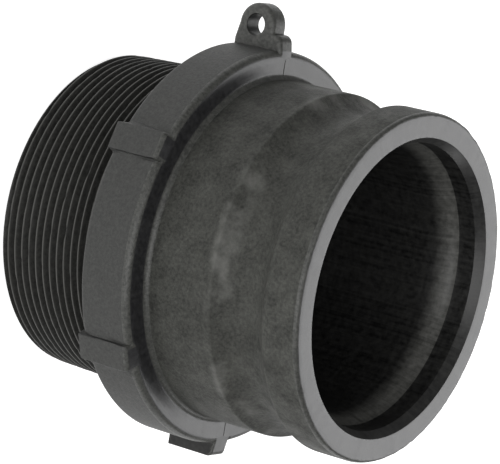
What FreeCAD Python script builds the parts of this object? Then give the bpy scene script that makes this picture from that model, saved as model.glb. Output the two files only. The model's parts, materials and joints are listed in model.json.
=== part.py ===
"""Male cam-and-groove adapter, 4 inch, with a male taper pipe thread.

The adapter is a single moulding, so it is one solid in one node. Lengths are in
millimetres. The origin is on the axis at the threaded end's face and +Z runs
along the axis to the mouth, so the adapter stands on its threaded end. The
tether ear points along -X and the mould's parting plane is the XZ plane.
"""
import FreeCAD, Part
import math
import os

INCH = 25.4

# Places along the axis.
overall_length = 128.0
collar_rear_z = 46.5
collar_front_z = 66.5
groove_rear_z = 93.0
groove_front_z = 114.3

# Cam spigot, the end that enters the coupler, and the barrel behind it.
spigot_radius = 59.75
groove_depth = 5.3
spigot_edge_round = 1.5
groove_edge_round = 1.2

# Bore: a straight hole that flares, as an arc, to a short seat behind the mouth.
bore_radius = 46.0
bore_edge_chamfer = 1.0
throat_start_z = 104.0
seat_z = 118.6
seat_radius = 48.9
lip_z = 124.9
lip_radius = 49.2
mouth_radius = 51.4

# Taper pipe thread, 4 inch: eight turns per inch, 1:16 on diameter.
thread_pitch = INCH / 8
thread_slope = 1.0 / 32
thread_pitch_radius = 4.33438 * INCH / 2
thread_height = 2.4
thread_crest_flat = 0.5
thread_root_flat = 0.4
thread_end_radius = 54.9
thread_end_slope = 1.0
thread_first_crest_z = 1.01
thread_root_overlap = 0.4

# Collar with its five turning lugs. The four side lugs are drawn from the mould along Y:
# their sides have a draft from that line, their tops lean towards the Y axis, and their
# rear ends stand out behind the collar. Every lug's front leans back from lug_lean_radius
# outwards.
collar_radius = 69.1
collar_front_round = 2.5
collar_rear_round = 1.5
barrel_root_round = 2.0
lug_draft = 0.12
lug_round = 0.5
lug_front_inset = 0.05
lug_front_lean = 0.24
lug_lean_radius = 65.5
lug_foot = 50.0
side_lug_angle = 60
side_lug_rear_z = 44.8
side_lug_near_x = 31.5
side_lug_near_y = 62.6
side_lug_far_x = 40.4
side_lug_far_y = 59.15
end_lug_rear_z = 46.8
end_lug_top = 74.0
end_lug_half_width = 4.0

# Tether ear at -X: a flat plate in the place of a lug. It has a round head, and a shoulder
# in front of it that is as high as a lug. Its hole is a little off the head's middle.
ear_thickness = 7.2
ear_width = 14.8
ear_round = 0.7
ear_centre_radius = 76.45
ear_centre_z = 54.6
ear_hole_radius = 3.65
ear_hole_centre_radius = 76.3
ear_hole_centre_z = 54.3
ear_root_radius = 66.5
ear_shoulder_radius = 74.3
ear_shoulder_z = 65.4
ear_foot_front_z = 66.45
ear_shoulder_round = 3.0
ear_heel_z = 46.0
ear_heel_radius = 70.9

AXIS = FreeCAD.Vector(0, 0, 1)
ORIGIN = FreeCAD.Vector(0, 0, 0)


def point(x, z, y=0.0):
    return FreeCAD.Vector(x, y, z)


def turned(outline):
    """The solid that a closed half-section of (radius, z) corners makes about the axis."""
    corners = [point(radius, z) for radius, z in outline]
    face = Part.Face(Part.makePolygon(corners + corners[:1]))
    return face.revolve(ORIGIN, AXIS, 360)


def circles_at(shape, radius, z):
    """The circular edges of this radius at this height."""
    found = []
    for edge in shape.Edges:
        curve = edge.Curve
        if not isinstance(curve, Part.Circle):
            continue
        if math.isclose(curve.Radius, radius, abs_tol=0.01):
            if math.isclose(curve.Center.z, z, abs_tol=0.01):
                found.append(edge)
    return found


def cam_groove():
    """The ring of a torus that is cut away where the coupler's cam arms bear."""
    width = groove_front_z - groove_rear_z
    section_radius = width ** 2 / (8 * groove_depth) + groove_depth / 2
    ring_radius = spigot_radius - groove_depth + section_radius
    middle = point(0, (groove_front_z + groove_rear_z) / 2)
    return Part.makeTorus(ring_radius, section_radius, middle)


def collar_barrel_and_spigot():
    blank = turned([
        (0, collar_rear_z),
        (collar_radius, collar_rear_z),
        (collar_radius, collar_front_z),
        (spigot_radius, collar_front_z),
        (spigot_radius, overall_length),
        (0, overall_length),
    ])
    blank = blank.cut(cam_groove())
    rounds = [
        (spigot_radius, overall_length, spigot_edge_round),
        (spigot_radius, groove_front_z, groove_edge_round),
        (spigot_radius, groove_rear_z, groove_edge_round),
        (spigot_radius, collar_front_z, barrel_root_round),
        (collar_radius, collar_front_z, collar_front_round),
        (collar_radius, collar_rear_z, collar_rear_round),
    ]
    for radius, z, size in rounds:
        blank = blank.makeFillet(size, circles_at(blank, radius, z))
    return blank


def thread_root_radius(z):
    return thread_pitch_radius - thread_height / 2 + thread_slope * z


def thread_ridge(top):
    """The helical ridge of the thread, running past both ends of the threaded length."""
    start = thread_first_crest_z - 3 * thread_pitch
    start_radius = thread_root_radius(start)
    taper_angle = math.degrees(math.atan(thread_slope))
    height = top - start + 2 * thread_pitch
    helix = Part.makeLongHelix(thread_pitch, height, start_radius, taper_angle)
    helix.translate(point(0, start))

    foot_half = (thread_pitch - thread_root_flat) / 2
    crest_half = thread_crest_flat / 2
    foot_half += thread_root_overlap * (foot_half - crest_half) / thread_height
    foot = start_radius - thread_root_overlap
    crest = start_radius + thread_height
    section = [
        point(foot, start - foot_half),
        point(crest, start - crest_half),
        point(crest, start + crest_half),
        point(foot, start + foot_half),
    ]
    sweep = Part.BRepOffsetAPI.MakePipeShell(Part.Wire(helix.Edges))
    sweep.setFrenetMode(True)
    sweep.add(Part.makePolygon(section + section[:1]))
    sweep.build()
    sweep.makeSolid()
    return sweep.shape()


def threaded_spigot():
    """The root cone and its ridge, trimmed to the lead chamfer at the end's face."""
    top = collar_rear_z + thread_pitch
    core = Part.makeCone(thread_root_radius(0), thread_root_radius(top), top)
    outside = collar_radius
    lead_height = (outside - thread_end_radius) * thread_end_slope
    envelope = turned([
        (0, 0),
        (thread_end_radius, 0),
        (outside, lead_height),
        (outside, top),
        (0, top),
    ])
    ridge = thread_ridge(top).common(envelope)
    return core.fuse(ridge)


def lug(corners, rear_z, angle):
    """A lug standing on its first and last corners, with its front leaning back."""
    outline = [point(x, rear_z, y) for x, y in corners]
    face = Part.Face(Part.makePolygon(outline + outline[:1]))
    front_z = collar_front_z - lug_front_inset
    block = face.extrude(point(0, front_z - rear_z))

    reach = 2 * collar_radius
    drop = lug_front_lean * (reach - lug_lean_radius)
    wedge_side = [
        point(lug_lean_radius, front_z, -collar_radius),
        point(reach, front_z - drop, -collar_radius),
        point(reach, front_z, -collar_radius),
    ]
    wedge = Part.Face(Part.makePolygon(wedge_side + wedge_side[:1]))
    wedge = wedge.extrude(point(0, 0, 2 * collar_radius))
    wedge.rotate(ORIGIN, AXIS, angle)
    block = block.cut(wedge)

    (first_x, first_y), (second_x, second_y) = corners[1:3]
    middle_z = (collar_rear_z + collar_front_z) / 2
    middle = Part.Vertex((first_x + second_x) / 2, (first_y + second_y) / 2, middle_z)
    top = min(block.Faces, key=lambda side: side.distToShape(middle)[0])
    return block.makeFillet(lug_round, top.Edges)


def side_lugs():
    """The four side lugs: one lug and its mirror images in the XZ and YZ planes."""
    corners = [
        (side_lug_near_x - lug_draft * (side_lug_near_y - lug_foot), lug_foot),
        (side_lug_near_x, side_lug_near_y),
        (side_lug_far_x, side_lug_far_y),
        (side_lug_far_x + lug_draft * (side_lug_far_y - lug_foot), lug_foot),
    ]
    first = lug(corners, side_lug_rear_z, side_lug_angle)
    pair = [first, first.mirror(ORIGIN, FreeCAD.Vector(1, 0, 0))]
    return pair + [block.mirror(ORIGIN, FreeCAD.Vector(0, 1, 0)) for block in pair]


def end_lug():
    """The lug at +X, opposite the tether ear, with straight sides."""
    half = end_lug_half_width
    corners = [(lug_foot, -half), (end_lug_top, -half), (end_lug_top, half), (lug_foot, half)]
    return lug(corners, end_lug_rear_z, 0)


def ear():
    """The tether ear: a plate with its heel behind it, a round head and a front shoulder."""
    half = ear_width / 2
    side = -ear_thickness / 2
    head_rear = point(-ear_centre_radius, ear_centre_z - half, side)
    head_top = point(-ear_centre_radius - half, ear_centre_z, side)
    head_front = point(-ear_centre_radius, ear_centre_z + half, side)
    front = Part.makePolygon([
        head_front,
        point(-ear_shoulder_radius, ear_centre_z + half, side),
        point(-ear_shoulder_radius, ear_shoulder_z, side),
        point(-ear_root_radius, ear_foot_front_z, side),
        point(-ear_root_radius, ear_heel_z, side),
        point(-ear_heel_radius, ear_heel_z, side),
        head_rear,
    ])
    head = Part.Arc(head_rear, head_top, head_front).toShape()
    face = Part.Face(Part.Wire([head] + front.Edges))
    plate = face.extrude(FreeCAD.Vector(0, ear_thickness, 0))

    corner = []
    for edge in plate.Edges:
        middle = edge.CenterOfMass
        at_shoulder = math.isclose(middle.x, -ear_shoulder_radius, abs_tol=0.01)
        if at_shoulder and math.isclose(middle.z, ear_shoulder_z, abs_tol=0.01):
            corner.append(edge)
    plate = plate.makeFillet(ear_shoulder_round, corner)

    rim = []
    for edge in plate.Edges:
        middle = edge.CenterOfMass
        along_face = math.isclose(abs(middle.y), ear_thickness / 2, abs_tol=0.01)
        if along_face and middle.x < -ear_root_radius - 0.5:
            rim.append(edge)
    return plate.makeFillet(ear_round, rim)


def ear_hole():
    length = 3 * ear_thickness
    centre = point(-ear_hole_centre_radius, ear_hole_centre_z, -length / 2)
    return Part.makeCylinder(ear_hole_radius, length, centre, FreeCAD.Vector(0, 1, 0))


def bore():
    """Everything that is hollow, from the threaded end to the mouth."""
    flare = seat_radius - bore_radius
    rise = seat_z - throat_start_z
    flare_radius = (rise ** 2 + flare ** 2) / (2 * flare)
    half_turn = math.asin(rise / flare_radius) / 2
    start = point(bore_radius, throat_start_z)
    middle = point(
        bore_radius + flare_radius * (1 - math.cos(half_turn)),
        throat_start_z + flare_radius * math.sin(half_turn),
    )
    end = point(seat_radius, seat_z)
    rest = Part.makePolygon([
        end,
        point(lip_radius, lip_z),
        point(mouth_radius, overall_length),
        point(0, overall_length),
        point(0, 0),
        point(bore_radius + bore_edge_chamfer, 0),
        point(bore_radius, bore_edge_chamfer),
        start,
    ])
    section = Part.Wire([Part.Arc(start, middle, end).toShape()] + rest.Edges)
    return Part.Face(section).revolve(ORIGIN, AXIS, 360)


def adapter_body():
    body = collar_barrel_and_spigot()
    body = body.fuse(side_lugs() + [end_lug(), ear()])
    body = body.fuse(threaded_spigot())
    return body.cut(bore()).cut(ear_hole())


os.makedirs("parts", exist_ok=True)
adapter_body().exportStep("parts/adapter_body.step")
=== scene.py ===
"""The looks of a 4 inch male cam-and-groove adapter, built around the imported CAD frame.

The frame's origin is on the axis, in the face of the threaded end. +Z runs to the mouth
and the tether ear points along -X. Lengths are in metres, but the camera's lens and sensor
are in millimetres. The adapter is one moulding, so it is one piece: a grid of rows along
its profile and columns around its axis, with the tether ear joined on.
"""
import json
import math

import bmesh
import bpy
import numpy as np
from mathutils import Matrix, Vector
from mathutils.geometry import tessellate_polygon


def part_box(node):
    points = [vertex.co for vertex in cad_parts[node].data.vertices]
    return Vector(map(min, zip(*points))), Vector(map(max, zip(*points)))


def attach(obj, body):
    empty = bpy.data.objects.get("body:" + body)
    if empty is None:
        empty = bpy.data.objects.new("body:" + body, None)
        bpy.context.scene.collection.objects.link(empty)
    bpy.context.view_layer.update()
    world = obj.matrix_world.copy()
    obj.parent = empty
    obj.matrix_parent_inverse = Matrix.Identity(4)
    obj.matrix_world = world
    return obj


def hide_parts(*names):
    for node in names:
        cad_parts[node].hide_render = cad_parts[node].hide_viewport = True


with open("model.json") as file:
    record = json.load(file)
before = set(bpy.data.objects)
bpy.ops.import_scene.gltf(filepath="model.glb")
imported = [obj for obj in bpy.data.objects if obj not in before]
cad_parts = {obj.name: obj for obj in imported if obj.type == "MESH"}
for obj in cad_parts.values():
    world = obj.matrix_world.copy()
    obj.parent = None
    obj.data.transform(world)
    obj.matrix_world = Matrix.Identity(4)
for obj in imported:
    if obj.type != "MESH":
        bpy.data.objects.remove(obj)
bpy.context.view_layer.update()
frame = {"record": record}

MM = 0.001
NODE = "adapter_body"

# Sizes that the frame states.
_, high_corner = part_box(NODE)
mounts = {mount["name"]: mount for mount in frame["record"]["mounts"]}
overall_length = high_corner.z
collar_radius = high_corner.y
lug_top = high_corner.x
spigot_radius = mounts["cam_spigot"]["dims"]["r_mm"] * MM
bore_radius = mounts["flow_bore"]["dims"]["r_mm"] * MM
hole_radius = mounts["tether_hole"]["dims"]["r_mm"] * MM
hole_x, _, hole_z = mounts["tether_hole"]["pos_m"]

# Places along the axis.
collar_rear_z = 46.5 * MM
collar_front_z = 66.5 * MM
groove_rear_z = 93.0 * MM
groove_front_z = 114.3 * MM

# Spigot, groove and mouth.
groove_depth = 5.3 * MM
groove_edge_round = 1.2 * MM
spigot_edge_round = 1.5 * MM
mouth_radius = 51.4 * MM
mouth_edge_round = 0.25 * MM
lip_radius = 49.2 * MM
lip_z = 124.9 * MM
seat_radius = 48.9 * MM
seat_z = 118.6 * MM
throat_start_z = 104.0 * MM
bore_chamfer = 1.0 * MM

# Collar and lugs.
collar_front_round = 2.5 * MM
collar_rear_round = 1.5 * MM
barrel_root_round = 2.0 * MM
lug_foot_radius = 66.5 * MM
lug_draft = 0.12
lug_front_round = 2.0 * MM
lug_edge_round = 0.5 * MM
lug_rear_z = 44.8 * MM
lug_front_lean = 1.5 * MM
side_lug_far = np.array([40.4, 59.15]) * MM
side_lug_near = np.array([31.5, 62.6]) * MM
end_lug_half_width = 4.0 * MM
ledge_height = 0.2 * MM
ledge_width = 0.8 * MM
parting_notch = 0.7 * MM
parting_half_width = 0.25 * MM

# Taper pipe thread.
thread_pitch = 25.4 * MM / 8
thread_slope = 1.0 / 32
thread_root_radius = 4.33438 * 25.4 * MM / 2 - 1.2 * MM
thread_first_crest_z = 1.01 * MM
thread_end_radius = 54.9 * MM
thread_end_slope = 1.0
thread_shape = [
    (0.0, 2.40),
    (0.20, 2.38),
    (0.31, 2.24),
    (0.80, 1.24),
    (1.34, 0.13),
    (1.45, 0.02),
    (1.5875, 0.0),
]

# Tether ear: its outline's corners are at these distances from the axis and heights.
ear_half_thickness = 3.6 * MM
ear_half_width = 7.38 * MM
ear_centre_radius = 76.45 * MM
ear_centre_z = 54.6 * MM
ear_shoulder_radius = 74.3 * MM
ear_shoulder_z = 65.4 * MM
ear_shoulder_round = 3.0 * MM
ear_root_radius = 66.0 * MM
ear_heel_radius = 70.9 * MM
ear_heel_z = 46.0 * MM
ear_near_round = 1.5 * MM
ear_far_round = 0.7 * MM
hole_round = 0.4 * MM

# Fineness of the grid.
column_step = math.radians(1.0)
least_column_step = 1e-4
row_step = 2.2 * MM
lug_step = 1.2 * MM
arc_steps = 8

# Unevenness of the moulding: the height and the length of its waves.
outside_shrink = 0.06 * MM
wide_waves = (0.035 * MM, 26 * MM)
narrow_waves = (0.012 * MM, 9 * MM)
mouth_edge_waves = (0.13 * MM, 3.5 * MM)

# How much a face has to look up, or outwards, to be of one kind of surface or another.
end_face_up = 0.93
edge_up = 0.12
wall_up = 0.3
wall_outwards = 0.6

# Studio.
floor_half_size = 4.0
floor_drop = 0.2 * MM
floor_shade = 0.6
floor_glow = 0.82
sky_strength = 0.25
softbox_distance = 1.6
# Name, direction from the adapter, width, height and radiance.
softboxes = [
    ("back_softbox", (0.12, 0.82, 0.56), 1.4, 1.0, 3.1),
    ("front_softbox", (0.15, -0.86, 0.48), 1.4, 1.5, 2.9),
    ("high_softbox", (-0.10, -0.35, 0.93), 1.0, 0.8, 1.7),
    ("side_softbox", (0.88, 0.45, 0.08), 0.35, 0.35, 6.0),
]

# Camera.
camera_place = (-0.14454, -0.80872, 0.62239)
camera_ahead = (0.13999, 0.81460, -0.56288)
camera_right = (-0.16110, 0.57965, 0.79879)
focal_length = 207.45
sensor_width = 36


# ---------------------------------------------------------------- outlines

def rounded(corners, steps=arc_steps):
    """Points along an outline of (a, b, rounding) corners, with an arc at each rounded one."""
    points = [np.array(corners[0][:2])]
    for before, corner, after in zip(corners, corners[1:], corners[2:]):
        here = np.array(corner[:2])
        radius = corner[2]
        if radius == 0:
            points.append(here)
            continue
        back = np.array(before[:2]) - here
        ahead = np.array(after[:2]) - here
        back /= np.linalg.norm(back)
        ahead /= np.linalg.norm(ahead)
        half = math.acos(np.clip(back @ ahead, -1, 1)) / 2
        middle = (back + ahead) / np.linalg.norm(back + ahead)
        centre = here + middle * radius / math.sin(half)
        first = here + back * radius / math.tan(half) - centre
        last = here + ahead * radius / math.tan(half) - centre
        sweep = math.pi - 2 * half
        for step in range(steps + 1):
            share = step / steps
            a = math.sin((1 - share) * sweep) / math.sin(sweep)
            b = math.sin(share * sweep) / math.sin(sweep)
            points.append(centre + a * first + b * last)
    points.append(np.array(corners[-1][:2]))
    return np.array(points)


def resampled(points, count):
    """The same polyline with this many evenly spaced points."""
    lengths = np.r_[0, np.cumsum(np.linalg.norm(np.diff(points, axis=0), axis=1))]
    wanted = np.linspace(0, lengths[-1], count)
    return np.stack([np.interp(wanted, lengths, points[:, k]) for k in (0, 1)], 1)


def filled(points, longest):
    """The polyline with every run cut into steps no longer than this."""
    out = [points[0]]
    for start, end in zip(points, points[1:]):
        steps = max(1, math.ceil(np.linalg.norm(end - start) / longest))
        out += [start + (end - start) * k / steps for k in range(1, steps + 1)]
    return np.array(out)


def groove_outline():
    """The barrel, the cam groove with its rounded edges and the ring in front of it."""
    width = groove_front_z - groove_rear_z
    section = width ** 2 / (8 * groove_depth) + groove_depth / 2
    centre = np.array([spigot_radius - groove_depth + section, (groove_front_z + groove_rear_z) / 2])
    edge_r = spigot_radius - groove_edge_round
    reach = math.sqrt((section + groove_edge_round) ** 2 - (edge_r - centre[0]) ** 2)
    lean = math.atan2(reach, centre[0] - edge_r)
    points = []
    for side in (-1, 1):
        middle = np.array([edge_r, centre[1] + side * reach])
        turn = [
            middle + groove_edge_round * np.array([math.cos(a), -side * math.sin(a)])
            for a in np.linspace(0, lean, arc_steps)
        ]
        points.append(turn if side < 0 else turn[::-1])
    floor = [
        centre + section * np.array([-math.cos(a), math.sin(a)])
        for a in np.linspace(-lean, lean, 26)[1:-1]
    ]
    return np.array(points[0] + floor + points[1])


def collar_rows():
    """Matching rows of the bare collar and of a lug, from the rear face to the barrel's root."""
    rear_inner = 61.0 * MM
    root = spigot_radius
    overhang = collar_rear_z - lug_rear_z
    collar = rounded([
        (rear_inner, collar_rear_z, 0),
        (lug_foot_radius - overhang, collar_rear_z, 0),
        (lug_foot_radius, collar_rear_z, 0),
        (collar_radius, collar_rear_z, collar_rear_round),
        (collar_radius, collar_front_z, collar_front_round),
        (root, collar_front_z, barrel_root_round),
        (root, collar_front_z + 2 * barrel_root_round, 0),
    ], 12)
    lug = rounded([
        (rear_inner, collar_rear_z, 0),
        (lug_foot_radius, collar_rear_z, 0),
        (lug_foot_radius, lug_rear_z, 0),
        (lug_top, lug_rear_z, lug_edge_round),
        (lug_top, collar_front_z - lug_front_lean, lug_front_round),
        (lug_foot_radius, collar_front_z, 0),
        (root, collar_front_z, barrel_root_round),
        (root, collar_front_z + 2 * barrel_root_round, 0),
    ], 12)
    # Where each stretch of the two outlines ends, and the rows that it gets.
    collar_cuts = [0, 1, 2, 3, 15, 28, 29, 42]
    lug_cuts = [0, 1, 2, 3, 16, 29, 30, 43]
    rows = [4, 3, 4, 12, 26, 4, 10]
    bare, raised = [], []
    for k, count in enumerate(rows):
        a = resampled(collar[collar_cuts[k]:collar_cuts[k + 1] + 1], count)
        b = resampled(lug[lug_cuts[k]:lug_cuts[k + 1] + 1], count)
        bare.append(a if k == 0 else a[1:])
        raised.append(b if k == 0 else b[1:])
    return np.concatenate(bare), np.concatenate(raised)


def throat_outline():
    """From the outer edge of the mouth's face, through the mouth and the bore, to the end's face."""
    flare = seat_radius - bore_radius
    rise = seat_z - throat_start_z
    arc_radius = (rise ** 2 + flare ** 2) / (2 * flare)
    whole = math.asin(rise / arc_radius)
    arc = [
        (bore_radius + arc_radius * (1 - math.cos(a)), throat_start_z + arc_radius * math.sin(a), 0)
        for a in np.linspace(whole, 0, 10)
    ]
    return filled(rounded([
        (spigot_radius, groove_front_z + groove_edge_round, 0),
        (spigot_radius, overall_length, spigot_edge_round),
        (mouth_radius, overall_length, mouth_edge_round),
        (lip_radius, lip_z, 0.6 * MM),
        *arc,
        (bore_radius, bore_chamfer, 0),
        (bore_radius + bore_chamfer, 0, 0),
        (bore_radius + 2 * bore_chamfer, 0, 0),
    ], 5), row_step)


def lug_columns(foot_slopes, first, second):
    """Columns over a lug with these top corners: their angles, share of the lug and its top."""
    across = (second - first) / np.linalg.norm(second - first)
    outward = np.array([across[1], -across[0]])
    facing = math.atan2(outward[1], outward[0])
    ledge = collar_radius + ledge_height

    def foot(corner, slope):
        # Where the wall, x = corner's x + slope * (corner's y - y), meets the ledge.
        reach = corner[0] + slope * corner[1]
        a, b, c = 1 + slope ** 2, -2 * slope * reach, reach ** 2 - ledge ** 2
        y = (-b + math.sqrt(b * b - 4 * a * c)) / (2 * a)
        return (corner[0] + slope * (corner[1] - y), y, 0)

    outline = filled(rounded([
        foot(first, foot_slopes[0]),
        (*first, lug_edge_round),
        (*second, lug_edge_round),
        foot(second, foot_slopes[1]),
    ], 4), lug_step)
    angle = np.arctan2(outline[:, 1], outline[:, 0])
    out = np.hypot(outline[:, 0], outline[:, 1])
    start, end = math.atan2(first[1], first[0]), math.atan2(second[1], second[0])
    top = (first @ outward) / np.cos(np.clip(angle, start, end) - facing)
    raised = np.clip((out - collar_radius) / (top - collar_radius), 0, 1)
    angle = np.maximum.accumulate(angle) + least_column_step * np.arange(len(angle))
    edge, lip = ledge_width / collar_radius, (ledge_width - ledge_height) / collar_radius
    angle = np.r_[angle[0] - edge, angle[0] - lip, angle, angle[-1] + lip, angle[-1] + edge]
    raised = np.r_[0, raised[0], raised, raised[-1], 0]
    return angle, raised, np.r_[top[:1], top[:1], top, top[-1:], top[-1:]]


def end_lug_columns():
    """Columns over the half of the end lug on the +Y side, from its middle to its foot."""
    half = end_lug_half_width
    foot = math.sqrt(collar_radius ** 2 - half ** 2)
    outline = rounded([
        (lug_top, 0, 0),
        (lug_top, parting_half_width, 0),
        (lug_top, 0.375 * half, 0),
        (lug_top, 0.7 * half, 0),
        (lug_top, half, lug_edge_round),
        (foot + 1.5 * MM, half, 0),
        (foot, half, 0),
    ], 4)
    angle = np.arctan2(outline[:, 1], outline[:, 0])
    out = np.hypot(outline[:, 0], outline[:, 1])
    top = lug_top / np.cos(np.minimum(angle, math.atan2(half, lug_top)))
    raised = np.clip((out - collar_radius) / (top - collar_radius), 0, 1)
    return angle, raised, top


def columns():
    """For every column: its angle, its share of the lug, the lug's top and the lug's rear end."""
    stretches = []

    def add(angle, raised, top, rear):
        stretches.append((angle, raised, top, np.full_like(angle, rear)))

    end_angle, end_raised, end_top = end_lug_columns()
    angle, raised, top = lug_columns((lug_draft, -lug_draft), side_lug_far, side_lug_near)
    half_line = parting_half_width / collar_radius
    line = math.pi + np.array([-half_line, 0, half_line])
    add(end_angle, end_raised, end_top, collar_rear_z)
    add(angle, raised, top, lug_rear_z)
    add((math.pi - angle)[::-1], raised[::-1], top[::-1], lug_rear_z)
    add(line, 0 * line, 0 * line + lug_top, collar_rear_z)
    add(math.pi + angle, raised, top, lug_rear_z)
    add((2 * math.pi - angle)[::-1], raised[::-1], top[::-1], lug_rear_z)
    end_angle, end_raised, end_top = end_angle[:0:-1], end_raised[:0:-1], end_top[:0:-1]
    add(2 * math.pi - end_angle, end_raised, end_top, collar_rear_z)
    parts = [stretches[0]]
    for before, after in zip(stretches, stretches[1:]):
        first, last = before[0][-1], after[0][0]
        steps = round((last - first) / column_step)
        gap = np.linspace(first, last, steps + 1)[1:-1]
        parts.append((gap, 0 * gap, 0 * gap + lug_top, 0 * gap + collar_rear_z))
        parts.append(after)
    return [np.concatenate(values) for values in zip(*parts)]


# ---------------------------------------------------------------- surface unevenness

def ripple(points, wavelength, seed, waves=28):
    """Smooth random unevenness of about this wavelength, from -1 to 1."""
    rng = np.random.default_rng(seed)
    ways = rng.normal(size=(waves, 3))
    ways /= np.linalg.norm(ways, axis=1)[:, None]
    ways *= 2 * math.pi / (wavelength * rng.uniform(0.7, 1.6, size=(waves, 1)))
    phases = rng.uniform(0, 2 * math.pi, size=waves)
    return np.sin(points @ ways.T + phases).sum(-1) / math.sqrt(2 * waves)


# ---------------------------------------------------------------- the moulding

def thread_radius(z, angle):
    """The thread's surface at this height and angle, trimmed by the lead chamfer."""
    turns = (z - thread_first_crest_z) / thread_pitch - angle / (2 * math.pi)
    from_crest = np.abs(turns - np.round(turns)) * thread_pitch
    s = [a * MM for a, _ in thread_shape]
    h = [b * MM for _, b in thread_shape]
    radius = thread_root_radius + thread_slope * z + np.interp(from_crest, s, h)
    return np.minimum(radius, thread_end_radius + thread_end_slope * z)


def crest_nicks(z, angle):
    """Small dents along the thread's crests."""
    rng = np.random.default_rng(41)
    turns = (z - thread_first_crest_z) / thread_pitch - angle / (2 * math.pi)
    crest = np.round(turns)
    clear = (z > 0.2 * MM) & (z < collar_rear_z - 0.2 * MM)
    near = clear & (np.abs(turns - crest) * thread_pitch < 0.4 * MM)
    along = (crest + angle / (2 * math.pi)) * 2 * math.pi * thread_root_radius
    dent = np.zeros_like(z)
    for _ in range(230):
        place = rng.uniform(0, 15 * 2 * math.pi * thread_root_radius)
        length = rng.uniform(0.5, 2.2) * MM
        depth = rng.uniform(0.06, 0.28) * MM
        dent += depth * np.exp(-((along - place) / length) ** 2)
    return np.where(near, dent, 0)


def thread_grid(angle):
    """Rows that follow the helix, as (row, column, 3), and the number of rows in one turn."""
    table = [s * MM for s, _ in thread_shape]
    steps = [-s for s in table[::-1]] + table[1:-1]
    per_turn = len(steps)
    turns = math.ceil(collar_rear_z / thread_pitch) + 2
    rows = []
    for turn in range(-2, turns):
        for step in steps:
            z = thread_first_crest_z + thread_pitch * (turn + angle / (2 * math.pi)) + step
            z = np.clip(z, 0, collar_rear_z)
            radius = thread_radius(z, angle) - crest_nicks(z, angle)
            rows.append(np.stack([radius * np.cos(angle), radius * np.sin(angle), z], 1))
    return np.array(rows), per_turn


def body_grid(angle, raised, top, rear):
    """Rows from the collar's rear face over the outside, through the bore, to the end's face."""
    bare, lug = collar_rows()
    rows = []

    def turned(radius, z):
        radius = np.broadcast_to(radius, angle.shape)
        z = np.broadcast_to(z, angle.shape)
        rows.append(np.stack([radius * np.cos(angle), radius * np.sin(angle), z], 1))

    turned(thread_radius(np.full_like(angle, collar_rear_z), angle), collar_rear_z)
    rise = (top - lug_foot_radius) / (lug_top - lug_foot_radius)
    at_parting = np.abs(np.sin(angle)) < 0.2 * parting_half_width / collar_radius
    for (bare_r, bare_z), (lug_r, lug_z) in zip(bare, lug):
        above_foot = max(lug_r - lug_foot_radius, 0)
        high = lug_r - above_foot + above_foot * rise
        z = bare_z * (1 - raised) + np.maximum(lug_z, rear) * raised
        on_front = bare_z > collar_front_z - 0.01 * MM and bare_r > spigot_radius + 1 * MM
        if on_front and bare_r < collar_radius - collar_front_round - 1 * MM:
            z = z - parting_notch * at_parting
        turned(bare_r * (1 - raised) + high * raised, z)
    first_barrel = len(rows)
    groove = filled(groove_outline(), row_step)
    barrel_end = groove[0]
    barrel_start = np.array([spigot_radius, bare[-1][1]])
    barrel = filled(np.array([barrel_start, barrel_end]), row_step)
    throat = throat_outline()
    for radius, z in [*barrel[1:], *groove[1:], *throat[1:]]:
        turned(radius, z)
    turned(thread_radius(np.zeros_like(angle), angle), 0.0)
    return np.array(rows), first_barrel


def quads(rows, count, first=0):
    """Faces between neighbouring rows of this many columns, closed round the axis."""
    i, j = np.meshgrid(np.arange(rows - 1), np.arange(count), indexing="ij")
    ahead = (j + 1) % count
    corners = [i * count + j, i * count + ahead, (i + 1) * count + ahead, (i + 1) * count + j]
    return np.stack(corners, -1).reshape(-1, 4) + first


def helix_quads(rows, count, per_turn):
    """As quads, but the last column meets the first one a turn higher up."""
    i, j = np.meshgrid(np.arange(rows - 1), np.arange(count - 1), indexing="ij")
    body = [i * count + j, i * count + j + 1, (i + 1) * count + j + 1, (i + 1) * count + j]
    i = np.arange(rows - 1 - per_turn)
    low = i * count + count - 1
    high = (i + per_turn) * count
    seam = [low, high, high + count, low + count]
    return np.concatenate([np.stack(body, -1).reshape(-1, 4), np.stack(seam, -1)])


def moulding_mesh():
    angle, raised, top, rear = columns()
    thread, per_turn = thread_grid(angle)
    body, first_barrel = body_grid(angle, raised, top, rear)
    count = len(angle)

    points = body.reshape(-1, 3)
    radius = np.hypot(points[:, 0], points[:, 1])
    outside = (radius > 53 * MM) & (points[:, 2] > collar_rear_z + 0.5 * MM)
    uneven = wide_waves[0] * ripple(points, wide_waves[1], 5)
    uneven = uneven + narrow_waves[0] * ripple(points, narrow_waves[1], 6)
    at_edge = (radius > spigot_radius - 1.2 * MM) & (points[:, 2] > overall_length - 0.9 * MM)
    uneven = uneven + mouth_edge_waves[0] * ripple(points, mouth_edge_waves[1], 7, 60) * at_edge
    factor = 1 + np.where(outside, uneven - outside_shrink, 0) / radius
    points = points * np.stack([factor, factor, np.ones_like(factor)], 1)

    vertices = np.concatenate([thread.reshape(-1, 3), points])
    faces = np.concatenate([
        helix_quads(len(thread), count, per_turn),
        quads(len(body), count, thread.shape[0] * count),
    ])
    mesh = bpy.data.meshes.new("adapter_moulding")
    mesh.from_pydata(vertices.tolist(), [], faces.tolist())
    clean = bmesh.new()
    clean.from_mesh(mesh)
    bmesh.ops.remove_doubles(clean, verts=clean.verts, dist=0.002 * MM)
    bmesh.ops.dissolve_degenerate(clean, edges=clean.edges, dist=0.001 * MM)
    bmesh.ops.recalc_face_normals(clean, faces=clean.faces)
    clean.to_mesh(mesh)
    clean.free()
    return mesh


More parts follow.
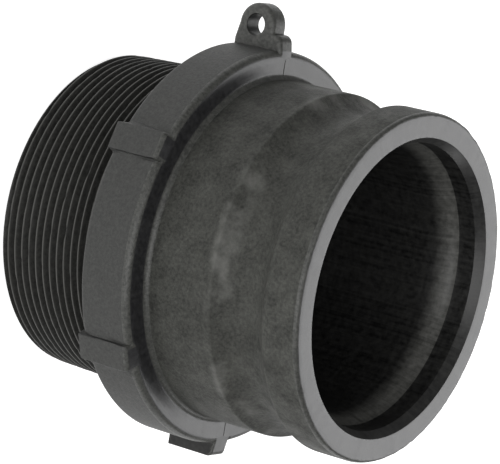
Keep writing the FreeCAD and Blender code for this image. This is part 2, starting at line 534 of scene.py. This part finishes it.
def ear_outline():
    """The ear's outline as closed (radius, z) points, each with its outward normal."""
    centre = np.array([ear_centre_radius, ear_centre_z])
    head = [
        (*(centre + ear_half_width * np.array([math.sin(a), math.cos(a)])), 0)
        for a in np.linspace(0, math.pi, 41)
    ]
    points = rounded([
        (ear_root_radius, ear_centre_z, 0),
        (ear_root_radius, collar_front_z - 0.02 * MM, 0),
        (collar_radius, collar_front_z - 0.15 * MM, 1.0 * MM),
        (ear_shoulder_radius, ear_shoulder_z, ear_shoulder_round),
        (ear_shoulder_radius, ear_centre_z + ear_half_width, 0.25 * MM),
        *head,
        (ear_heel_radius, ear_heel_z, 0),
        (ear_root_radius, ear_heel_z, 0),
        (ear_root_radius, ear_centre_z, 0),
    ], 7)
    points = filled(points, 0.7 * MM)[:-1]
    along = np.roll(points, -1, axis=0) - np.roll(points, 1, axis=0)
    normals = np.stack([-along[:, 1], along[:, 0]], 1)
    return points, normals / np.linalg.norm(normals, axis=1)[:, None]


def ear_mesh():
    """The tether ear as a closed plate: its rim, its hole and the two flat sides."""
    outline, normals = ear_outline()
    turns = np.linspace(0, 2 * math.pi, 72, endpoint=False)
    circle = np.stack([np.cos(turns), np.sin(turns)], 1)
    hole_centre = np.array([-hole_x, hole_z])
    steps = np.linspace(0, math.pi / 2, 7)
    vertices, faces = [], []

    def ring(plan, y):
        first = len(vertices)
        vertices.extend((-radius, y, z) for radius, z in plan)
        return list(range(first, len(vertices)))

    def join(a, b):
        count = len(a)
        for k in range(count):
            ahead = (k + 1) % count
            faces.append((a[k], a[ahead], b[ahead], b[k]))

    def strip(rings):
        for a, b in zip(rings, rings[1:]):
            join(a, b)

    rim, wall, flats = [], [], []
    for side, size in ((-1, ear_near_round), (1, ear_far_round)):
        outer, inner = [], []
        outer.append(ring(outline - normals * (size + 0.25 * MM), side * ear_half_thickness))
        inner_radius = hole_radius + hole_round + 0.25 * MM
        inner.append(ring(hole_centre + circle * inner_radius, side * ear_half_thickness))
        flats.append((outer[0], inner[0]))
        for a in steps:
            inset, drop = size * (1 - math.sin(a)), size * (1 - math.cos(a))
            outer.append(ring(outline - normals * inset, side * (ear_half_thickness - drop)))
            inset, drop = hole_round * (1 - math.sin(a)), hole_round * (1 - math.cos(a))
            plan = hole_centre + circle * (hole_radius + inset)
            inner.append(ring(plan, side * (ear_half_thickness - drop)))
        rim += outer if side < 0 else outer[::-1]
        wall += inner if side < 0 else inner[::-1]
    strip(rim)
    strip(wall)
    for outer, inner in flats:
        loops = [[Vector((vertices[k][0], vertices[k][2], 0)) for k in loop] for loop in (outer, inner)]
        order = outer + inner
        for triangle in tessellate_polygon(loops):
            faces.append(tuple(order[k] for k in triangle))

    mesh = bpy.data.meshes.new("tether_ear")
    mesh.from_pydata(vertices, [], faces)
    clean = bmesh.new()
    clean.from_mesh(mesh)
    bmesh.ops.recalc_face_normals(clean, faces=clean.faces)
    clean.to_mesh(mesh)
    clean.free()
    return mesh


def added(name, mesh):
    piece = bpy.data.objects.new(name, mesh)
    bpy.context.scene.collection.objects.link(piece)
    return piece


def adapter():
    """The moulding and its ear as one closed mesh."""
    piece = added("adapter_moulding", moulding_mesh())
    tool = added("tether_ear", ear_mesh())
    join = piece.modifiers.new("join_ear", "BOOLEAN")
    join.operation = "UNION"
    join.solver = "MANIFOLD"
    join.object = tool
    bpy.context.view_layer.update()
    whole = piece.evaluated_get(bpy.context.evaluated_depsgraph_get())
    mesh = bpy.data.meshes.new_from_object(whole)
    piece.modifiers.clear()
    piece.data = mesh
    bpy.data.objects.remove(tool)
    mesh.shade_smooth()
    mesh.set_sharp_from_angle(angle=math.radians(38))
    return piece


# ---------------------------------------------------------------- materials

class Moulded:
    """A node material for one kind of surface of the moulding."""

    def __init__(self, name, specular):
        self.material = bpy.data.materials.new(name)
        self.material.use_nodes = True
        self.tree = self.material.node_tree
        self.shader = self.tree.nodes["Principled BSDF"]
        self.shader.inputs["Specular IOR Level"].default_value = specular
        self.place = self.tree.nodes.new("ShaderNodeTexCoord").outputs["Object"]

    def link(self, source, target):
        self.tree.links.new(source, target)

    def stretched(self, scale):
        """The place with each axis scaled, so that a pattern runs long where the scale is small."""
        node = self.tree.nodes.new("ShaderNodeVectorMath")
        node.operation = "MULTIPLY"
        node.inputs[1].default_value = scale
        self.link(self.place, node.inputs[0])
        return node.outputs["Vector"]

    def outwards(self):
        """The direction away from the axis, the same all along a radius."""
        flat = self.stretched((1, 1, 0))
        node = self.tree.nodes.new("ShaderNodeVectorMath")
        node.operation = "NORMALIZE"
        self.link(flat, node.inputs[0])
        return node.outputs["Vector"]

    def height(self):
        """The height over the threaded end's face."""
        node = self.tree.nodes.new("ShaderNodeSeparateXYZ")
        self.link(self.place, node.inputs["Vector"])
        return node.outputs["Z"]

    def noise(self, scale, detail, rough=0.5, place=None):
        node = self.tree.nodes.new("ShaderNodeTexNoise")
        node.inputs["Scale"].default_value = scale
        node.inputs["Detail"].default_value = detail
        node.inputs["Roughness"].default_value = rough
        self.link(place or self.place, node.inputs["Vector"])
        return node.outputs["Fac"]

    def spread(self, value, low, high, low_out, high_out):
        node = self.tree.nodes.new("ShaderNodeMapRange")
        node.inputs["From Min"].default_value = low
        node.inputs["From Max"].default_value = high
        node.inputs["To Min"].default_value = low_out
        node.inputs["To Max"].default_value = high_out
        self.link(value, node.inputs["Value"])
        return node.outputs["Result"]

    def mixed(self, factor, dark, light):
        node = self.tree.nodes.new("ShaderNodeMix")
        node.data_type = "RGBA"
        for value, socket in ((dark, node.inputs["A"]), (light, node.inputs["B"])):
            if isinstance(value, tuple):
                socket.default_value = (*value, 1)
            else:
                self.link(value, socket)
        self.link(factor, node.inputs["Factor"])
        return node.outputs["Result"]

    def average(self, first, second, share):
        node = self.tree.nodes.new("ShaderNodeMix")
        node.inputs["Factor"].default_value = share
        self.link(first, node.inputs["A"])
        self.link(second, node.inputs["B"])
        return node.outputs["Result"]

    def product(self, first, second):
        node = self.tree.nodes.new("ShaderNodeMath")
        node.operation = "MULTIPLY"
        self.link(first, node.inputs[0])
        self.link(second, node.inputs[1])
        return node.outputs["Value"]

    def colour(self, value):
        self.link(value, self.shader.inputs["Base Color"])

    def roughness(self, value):
        self.link(value, self.shader.inputs["Roughness"])

    def bump(self, height, distance, strength):
        node = self.tree.nodes.new("ShaderNodeBump")
        node.inputs["Strength"].default_value = strength
        node.inputs["Distance"].default_value = distance
        self.link(height, node.inputs["Height"])
        self.link(node.outputs["Normal"], self.shader.inputs["Normal"])


def textured_side():
    """The spark-textured barrel and spigot: matt and grainy, with patches and a band of painted
    highlight at the groove's rear edge.
    """
    kind = Moulded("textured_side", 0.22)
    patches = kind.noise(120, 3)
    specks = kind.noise(900, 4, 0.7)
    both = kind.average(patches, specks, 0.7)
    plain = kind.mixed(
        kind.spread(both, 0.36, 0.64, 0, 1), (0.017, 0.0175, 0.0155), (0.053, 0.054, 0.048))
    # Painted highlight: a paler, patchy band around the groove's rear edge stands in for the light that
    # its rounding catches.
    behind = kind.spread(kind.height(), groove_rear_z - 3 * MM, groove_rear_z, 0, 1)
    beyond = kind.spread(kind.height(), groove_rear_z + 7 * MM, groove_rear_z + 3 * MM, 0, 1)
    highlight_patches = kind.spread(kind.noise(48, 4, 0.6), 0.47, 0.66, 0, 1)
    painted_light = kind.product(kind.product(behind, beyond), highlight_patches)
    kind.colour(kind.mixed(painted_light, plain, (0.120, 0.120, 0.112)))
    kind.roughness(kind.spread(patches, 0.3, 0.7, 0.72, 0.56))
    kind.bump(kind.noise(1500, 4, 0.7), 0.2 * MM, 0.7)
    return kind.material


def collar_side():
    """The collar and its lugs: the same texture, finer and more even."""
    kind = Moulded("collar_side", 0.3)
    specks = kind.noise(1000, 4, 0.7)
    kind.colour(kind.mixed(
        kind.spread(specks, 0.3, 0.7, 0, 1), (0.024, 0.0245, 0.0235), (0.042, 0.0425, 0.040)))
    kind.roughness(kind.spread(specks, 0.3, 0.7, 0.64, 0.54))
    kind.bump(kind.noise(1700, 3, 0.6), 0.12 * MM, 0.5)
    return kind.material


def thread_flank():
    """The thread: painted shade darkens its flanks, and a painted highlight makes its crests paler."""
    kind = Moulded("thread_flank", 0.3)
    specks = kind.noise(700, 4, 0.65)
    across = kind.tree.nodes.new("ShaderNodeVectorMath")
    across.operation = "LENGTH"
    kind.link(kind.stretched((1, 1, 0)), across.inputs[0])
    rise = kind.tree.nodes.new("ShaderNodeMath")
    rise.operation = "MULTIPLY_ADD"
    kind.link(kind.height(), rise.inputs[0])
    rise.inputs[1].default_value = -thread_slope
    kind.link(across.outputs["Value"], rise.inputs[2])
    # Painted highlight: the crests' paler colour stands in for the light lines that they catch.
    crest = kind.spread(rise.outputs["Value"], thread_root_radius + 2.05 * MM,
                        thread_root_radius + 2.35 * MM, 0, 1)
    # Painted shade: the flanks' very dark colour stands in for the shade between the crests.
    flank = kind.mixed(
        kind.spread(specks, 0.35, 0.65, 0, 1), (0.007, 0.007, 0.006), (0.023, 0.023, 0.021))
    kind.colour(kind.mixed(crest, flank, (0.052, 0.052, 0.048)))
    kind.roughness(kind.spread(specks, 0.3, 0.7, 0.62, 0.48))
    kind.bump(kind.noise(1100, 3), 0.08 * MM, 0.3)
    return kind.material


def smooth_face(name, speck_share, dark, light, roughest):
    """A nearly smooth face towards the mouth, with faint marks that run outwards."""
    kind = Moulded(name, 0.5)
    streaks = kind.noise(26, 4, 0.6, kind.outwards())
    specks = kind.noise(650, 4, 0.6)
    both = kind.average(streaks, specks, speck_share)
    kind.colour(kind.mixed(kind.spread(both, 0.35, 0.65, 0, 1), dark, light))
    kind.roughness(kind.spread(both, 0.32, 0.68, 0.28, roughest))
    kind.bump(kind.noise(700, 4, 0.6), 0.07 * MM, 0.35)
    return kind.material


def end_face():
    """The mouth's face."""
    return smooth_face("end_face", 0.5, (0.030, 0.030, 0.031), (0.060, 0.060, 0.062), 0.44)


def collar_front():
    """The collar's front face: painted darker than the mouth's face, as shade in the recess between the
    collar and the barrel.
    """
    return smooth_face("collar_front", 0.6, (0.008, 0.008, 0.009), (0.026, 0.026, 0.027), 0.40)


def painted_shade_wall():
    """The lugs' side walls and the wall of the ear's hole: smooth, and painted dark as shade."""
    kind = Moulded("painted_shade_wall", 0.3)
    specks = kind.noise(700, 4, 0.65)
    # Painted shade: the near-black colour stands in for the shadow on these walls.
    kind.colour(kind.mixed(
        kind.spread(specks, 0.35, 0.65, 0, 1), (0.004, 0.004, 0.004), (0.014, 0.014, 0.013)))
    kind.roughness(kind.spread(specks, 0.3, 0.7, 0.50, 0.40))
    kind.bump(kind.noise(1100, 3), 0.08 * MM, 0.3)
    return kind.material


def rounded_edge():
    """Roundings beside the end faces, and the tether ear: a little glossier than the barrel."""
    kind = Moulded("rounded_edge", 0.45)
    specks = kind.noise(900, 4, 0.65)
    kind.colour(kind.mixed(
        kind.spread(specks, 0.36, 0.64, 0, 1), (0.018, 0.0185, 0.0165), (0.050, 0.051, 0.046)))
    kind.roughness(kind.spread(specks, 0.3, 0.7, 0.52, 0.40))
    kind.bump(kind.noise(1500, 4, 0.7), 0.12 * MM, 0.45)
    return kind.material


def inner_wall():
    """The lip, the seat's throat and the bore: smooth and dark, with a band of painted light in the
    throat just below the seat.
    """
    kind = Moulded("inner_wall", 0.4)
    rings = kind.noise(900, 3, 0.6, kind.stretched((0.04, 0.04, 1)))
    scuffs = kind.noise(45, 3, 0.6, kind.outwards())
    specks = kind.noise(500, 3, 0.6)
    both = kind.average(kind.average(rings, scuffs, 0.8), specks, 0.5)
    # Painted light: a paler band below the seat's edge, fading into the bore, stands in for the light
    # falling in through the mouth.
    painted_light = kind.spread(kind.height(), throat_start_z + 6 * MM, throat_start_z + 11 * MM, 0, 1)
    edge = kind.spread(kind.height(), seat_z + 0.1 * MM, seat_z, 0, 1)
    marks = kind.spread(both, 0.38, 0.62, 0, 1)
    dark = kind.mixed(marks, (0.005, 0.005, 0.005), (0.022, 0.022, 0.021))
    painted_light_colour = kind.mixed(marks, (0.040, 0.040, 0.037), (0.090, 0.090, 0.084))
    kind.colour(kind.mixed(kind.product(painted_light, edge), dark, painted_light_colour))
    kind.roughness(kind.spread(both, 0.3, 0.7, 0.30, 0.44))
    kind.bump(both, 0.05 * MM, 0.25)
    return kind.material


def surface_kinds(mesh):
    """Gives every face its material, by where it lies and which way it looks."""
    makers = (textured_side, collar_side, painted_shade_wall, thread_flank, collar_front, end_face,
              rounded_edge, inner_wall)
    for make in makers:
        mesh.materials.append(make())
    number = {make.__name__: k for k, make in enumerate(makers)}
    count = len(mesh.polygons)
    centre = np.empty(3 * count)
    normal = np.empty(3 * count)
    mesh.polygons.foreach_get("center", centre)
    mesh.polygons.foreach_get("normal", normal)
    centre = centre.reshape(-1, 3)
    z = centre[:, 2]
    up = normal.reshape(-1, 3)[:, 2]
    radius = np.hypot(centre[:, 0], centre[:, 1])
    kinds = np.zeros(count, dtype=np.int32)
    kinds[(z < collar_rear_z - 0.1 * MM) & (radius < 61 * MM)] = number["thread_flank"]
    kinds[(z < collar_front_z) & (radius > collar_radius - 2 * MM)] = number["collar_side"]
    # The lugs' side walls get the material that is painted dark as shade.
    outwards = centre[:, :2] / radius[:, None]
    turned_away = np.abs((normal.reshape(-1, 3)[:, :2] * outwards).sum(-1)) < wall_outwards
    on_lug = (radius > collar_radius + ledge_height) & (centre[:, 0] > -lug_foot_radius)
    kinds[on_lug & turned_away & (np.abs(up) < wall_up)] = number["painted_shade_wall"]
    at_collar_front = (z > collar_front_z - 4 * MM) & (z < collar_front_z + 2.5 * MM)
    at_mouth = z > overall_length - 2 * MM
    kinds[(up > edge_up) & (at_collar_front | at_mouth)] = number["rounded_edge"]
    # The collar's front face gets the material that is painted darker as shade.
    kinds[(up > end_face_up) & at_collar_front] = number["collar_front"]
    kinds[(up > end_face_up) & at_mouth] = number["end_face"]
    kinds[centre[:, 0] < -collar_radius - 0.2 * MM] = number["rounded_edge"]
    # The wall of the ear's hole is painted dark as shade too.
    from_hole = np.hypot(centre[:, 0] - hole_x, z - hole_z)
    kinds[from_hole < hole_radius + 0.1 * MM] = number["painted_shade_wall"]
    kinds[radius < mouth_radius + 0.05 * MM] = number["inner_wall"]
    mesh.polygons.foreach_set("material_index", kinds)


# ---------------------------------------------------------------- stage, light and camera

def floor():
    half = floor_half_size
    mesh = bpy.data.meshes.new("studio_floor")
    corners = [(-half, -half), (half, -half), (half, half), (-half, half)]
    mesh.from_pydata([(x, y, -floor_drop) for x, y in corners], [], [(0, 1, 2, 3)])
    piece = added("studio_floor", mesh)
    material = bpy.data.materials.new("studio_floor")
    material.use_nodes = True
    shader = material.node_tree.nodes["Principled BSDF"]
    shader.inputs["Base Color"].default_value = (floor_shade, floor_shade, floor_shade, 1)
    shader.inputs["Roughness"].default_value = 0.9
    shader.inputs["Emission Strength"].default_value = floor_glow
    tree = material.node_tree
    # The floor glows evenly, except in a disc under the adapter, inside the thread's root, where the
    # glow is cut off as painted shade below the bore.
    place = tree.nodes.new("ShaderNodeTexCoord")
    away = tree.nodes.new("ShaderNodeVectorMath")
    away.operation = "LENGTH"
    tree.links.new(place.outputs["Object"], away.inputs[0])
    glow = tree.nodes.new("ShaderNodeMapRange")
    glow.inputs["From Min"].default_value = thread_root_radius
    glow.inputs["From Max"].default_value = thread_root_radius + 1 * MM
    tree.links.new(away.outputs["Value"], glow.inputs["Value"])
    tree.links.new(glow.outputs["Result"], shader.inputs["Emission Color"])
    mesh.materials.append(material)


def softbox(name, direction, width, height, radiance):
    """A large square light, that shines at the middle of the adapter."""
    middle = Vector((0, 0, overall_length / 2))
    away = Vector(direction).normalized()
    lamp = bpy.data.lights.new(name, "AREA")
    lamp.shape = "RECTANGLE"
    lamp.size = width
    lamp.size_y = height
    lamp.energy = radiance * math.pi * width * height
    light = bpy.data.objects.new(name, lamp)
    light.location = middle + away * softbox_distance
    light.rotation_euler = away.to_track_quat("Z", "Y").to_euler()
    bpy.context.scene.collection.objects.link(light)


def lights():
    world = bpy.data.worlds.new("studio")
    world.use_nodes = True
    sky = world.node_tree.nodes["Background"]
    sky.inputs["Color"].default_value = (1, 1, 1, 1)
    sky.inputs["Strength"].default_value = sky_strength
    bpy.context.scene.world = world
    for box in softboxes:
        softbox(*box)


def camera():
    ahead = Vector(camera_ahead).normalized()
    right = Vector(camera_right).normalized()
    up = right.cross(ahead)
    data = bpy.data.cameras.new("camera")
    data.sensor_width = sensor_width
    data.lens = focal_length
    data.clip_start = 0.05
    data.clip_end = 50
    eye = bpy.data.objects.new("camera", data)
    turn = Matrix((right, up, -ahead)).transposed().to_4x4()
    eye.matrix_world = Matrix.Translation(camera_place) @ turn
    bpy.context.scene.collection.objects.link(eye)
    bpy.context.scene.camera = eye


piece = adapter()
piece.data.materials.clear()
surface_kinds(piece.data)
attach(piece, "root")
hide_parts(NODE)
floor()
lights()
camera()
bpy.context.scene.view_settings.view_transform = "Standard"
